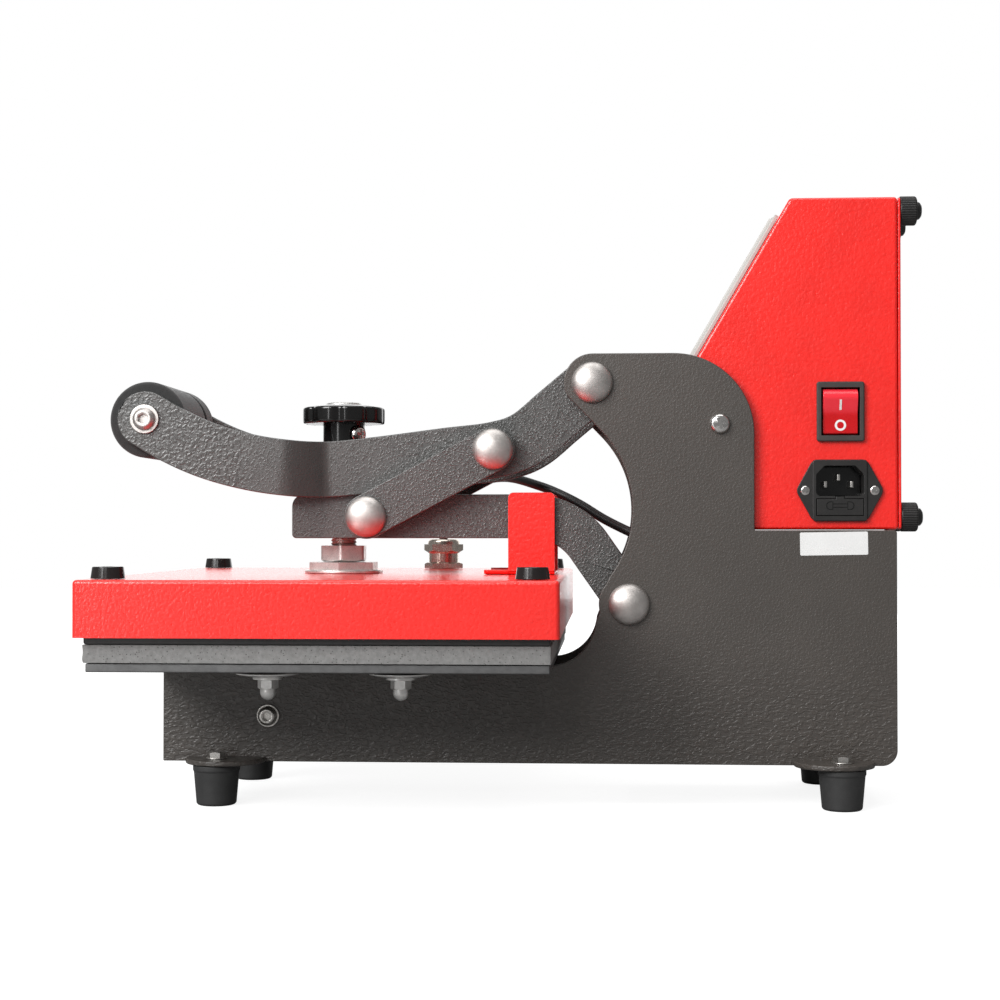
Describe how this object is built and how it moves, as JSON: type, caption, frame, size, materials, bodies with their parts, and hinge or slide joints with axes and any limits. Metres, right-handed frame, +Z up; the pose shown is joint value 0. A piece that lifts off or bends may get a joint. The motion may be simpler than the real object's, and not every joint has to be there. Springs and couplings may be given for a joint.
{
  "type": "clamshell heat press",
  "caption": "Clamshell heat press with a toggle handle, a heated head that swings up on twin arms over a padded bed, and a rear control box.",
  "frame": {"origin": "on the table, under the middle of the machine's length and width", "axes": "+Z up; -Y towards the handle and the operator; +X to the side with the power switch and inlet"},
  "size_m": [0.315, 0.4778, 0.3536],
  "materials": {
    "grey_hammertone": "warm dark grey hammertone paint, satin",
    "red_powder_coat": "bright red powder coat, fine orange peel, semi-gloss",
    "satin_steel": "satin nickel plated steel",
    "zinc_steel": "zinc plated steel",
    "aluminium_plate": "dull machined aluminium",
    "black_rubber": "matt moulded rubber",
    "black_plastic": "black moulded plastic",
    "grip_foam": "closed-cell foam rubber",
    "silicone_sponge": "grey silicone sponge",
    "insulation": "glass wool",
    "red_rocker": "clear red moulded plastic",
    "grey_plastic": "light grey moulded plastic",
    "circuit_board": "green solder mask",
    "cable_jacket": "black silicone jacket"
  },
  "bodies": {
    "frame": {"side_plate_right": "grey_hammertone", "side_plate_left": "grey_hammertone", "front_stay_bolt": "zinc_steel", "frame_pan": "grey_hammertone", "foot_front_right": "black_rubber", "foot_front_left": "black_rubber", "foot_rear_right": "black_rubber", "foot_rear_left": "black_rubber", "bed_bracket_front": "grey_hammertone", "bed_bracket_rear": "grey_hammertone", "bed_plate": "aluminium_plate", "silicone_pad": "silicone_sponge", "handle_pivot_shaft": "satin_steel", "platen_pivot_shaft": "satin_steel", "lift_spring": "zinc_steel", "control_box_shell": "red_powder_coat", "control_box_rear_cover": "red_powder_coat", "thumb_screw_bottom_right": "black_plastic", "thumb_screw_bottom_left": "black_plastic", "thumb_screw_top_right": "black_plastic", "thumb_screw_top_left": "black_plastic", "controller_bezel": "grey_plastic", "controller_board": "circuit_board", "heater_relay": "black_plastic", "switch_body": "black_plastic", "power_inlet": "black_plastic", "heater_cable": "cable_jacket"},
    "platen_arms": {"platen_arm_right": "grey_hammertone", "platen_arm_left": "grey_hammertone", "pressure_block": "zinc_steel", "link_cross_shaft": "satin_steel", "spring_tail_pin": "zinc_steel"},
    "head": {"platen_cover": "red_powder_coat", "anti_twist_bracket": "red_powder_coat", "platen_flange": "zinc_steel", "lock_nut": "zinc_steel", "insulation_mat": "insulation", "heat_platen": "aluminium_plate", "cover_bumper_front_right": "black_rubber", "cover_bumper_front_left": "black_rubber", "cover_bumper_rear_right": "black_rubber", "cover_bumper_rear_left": "black_rubber", "cable_gland": "satin_steel"},
    "pressure_screw": {"pressure_screw": "zinc_steel", "pressure_knob": "black_plastic"},
    "handle": {"handle_arm_right": "grey_hammertone", "handle_arm_left": "grey_hammertone", "grip_tube": "zinc_steel", "grip_sleeve": "grip_foam", "grip_bolt": "satin_steel", "link_pin": "satin_steel"},
    "links": {"link_bar_right": "grey_hammertone", "link_bar_left": "grey_hammertone", "link_end_pin_right": "satin_steel", "link_end_pin_left": "satin_steel"},
    "switch_rocker": {"switch_rocker": "red_rocker"},
    "panel_button_1": {"panel_button_1": "black_plastic"},
    "panel_button_2": {"panel_button_2": "black_plastic"},
    "panel_button_3": {"panel_button_3": "black_plastic"},
    "fuse_drawer": {"fuse_drawer": "black_plastic"}
  },
  "joints": [
    {"name": "platen_hinge", "type": "hinge", "parent": "frame", "child": "platen_arms", "pos_m": [0, 0.0671, 0.1159], "axis": [-1, 0, 0], "range_deg": [0, 31.09], "deforming": ["heater_cable", "lift_spring"]},
    {"name": "handle_hinge", "type": "hinge", "parent": "frame", "child": "handle", "pos_m": [0, 0.0459, 0.2447], "axis": [-1, 0, 0], "range_deg": [0, 95]},
    {"name": "link_hinge", "type": "hinge", "parent": "handle", "child": "links", "pos_m": [0, -0.0121, 0.2061], "axis": [1, 0, 0], "range_deg": [0, 120.07]},
    {"name": "head_slide", "type": "slide", "parent": "platen_arms", "child": "head", "axis": [0, 0, 1], "range_m": [0, 0.004]},
    {"name": "pressure_screw_turn", "type": "hinge", "parent": "head", "child": "pressure_screw", "pos_m": [0, -0.1058, 0.2], "axis": [0, 0, 1], "range_deg": [0, 720.01]},
    {"name": "switch_rocker_tilt", "type": "hinge", "parent": "frame", "child": "switch_rocker", "pos_m": [0.0385, 0.1894, 0.2275], "axis": [0, -1, 0], "range_deg": [0, 20]},
    {"name": "panel_button_1_press", "type": "slide", "parent": "frame", "child": "panel_button_1", "axis": [0, 0.8634, -0.5045], "range_m": [0, 0.001], "stiffness_N_per_m": 300},
    {"name": "panel_button_2_press", "type": "slide", "parent": "frame", "child": "panel_button_2", "axis": [0, 0.8634, -0.5045], "range_m": [0, 0.001], "stiffness_N_per_m": 300},
    {"name": "panel_button_3_press", "type": "slide", "parent": "frame", "child": "panel_button_3", "axis": [0, 0.8634, -0.5045], "range_m": [0, 0.001], "stiffness_N_per_m": 300},
    {"name": "fuse_drawer_slide", "type": "slide", "parent": "frame", "child": "fuse_drawer", "axis": [1, 0, 0], "range_m": [0, 0.022]}
  ],
  "couplings": [
    {"joint": "handle_hinge", "follows": "platen_hinge", "ratio": 3.0552},
    {"joint": "link_hinge", "follows": "platen_hinge", "ratio": 3.8613},
    {"joint": "pressure_screw_turn", "follows": "head_slide", "rad_per_m": 3141.6}
  ]
}
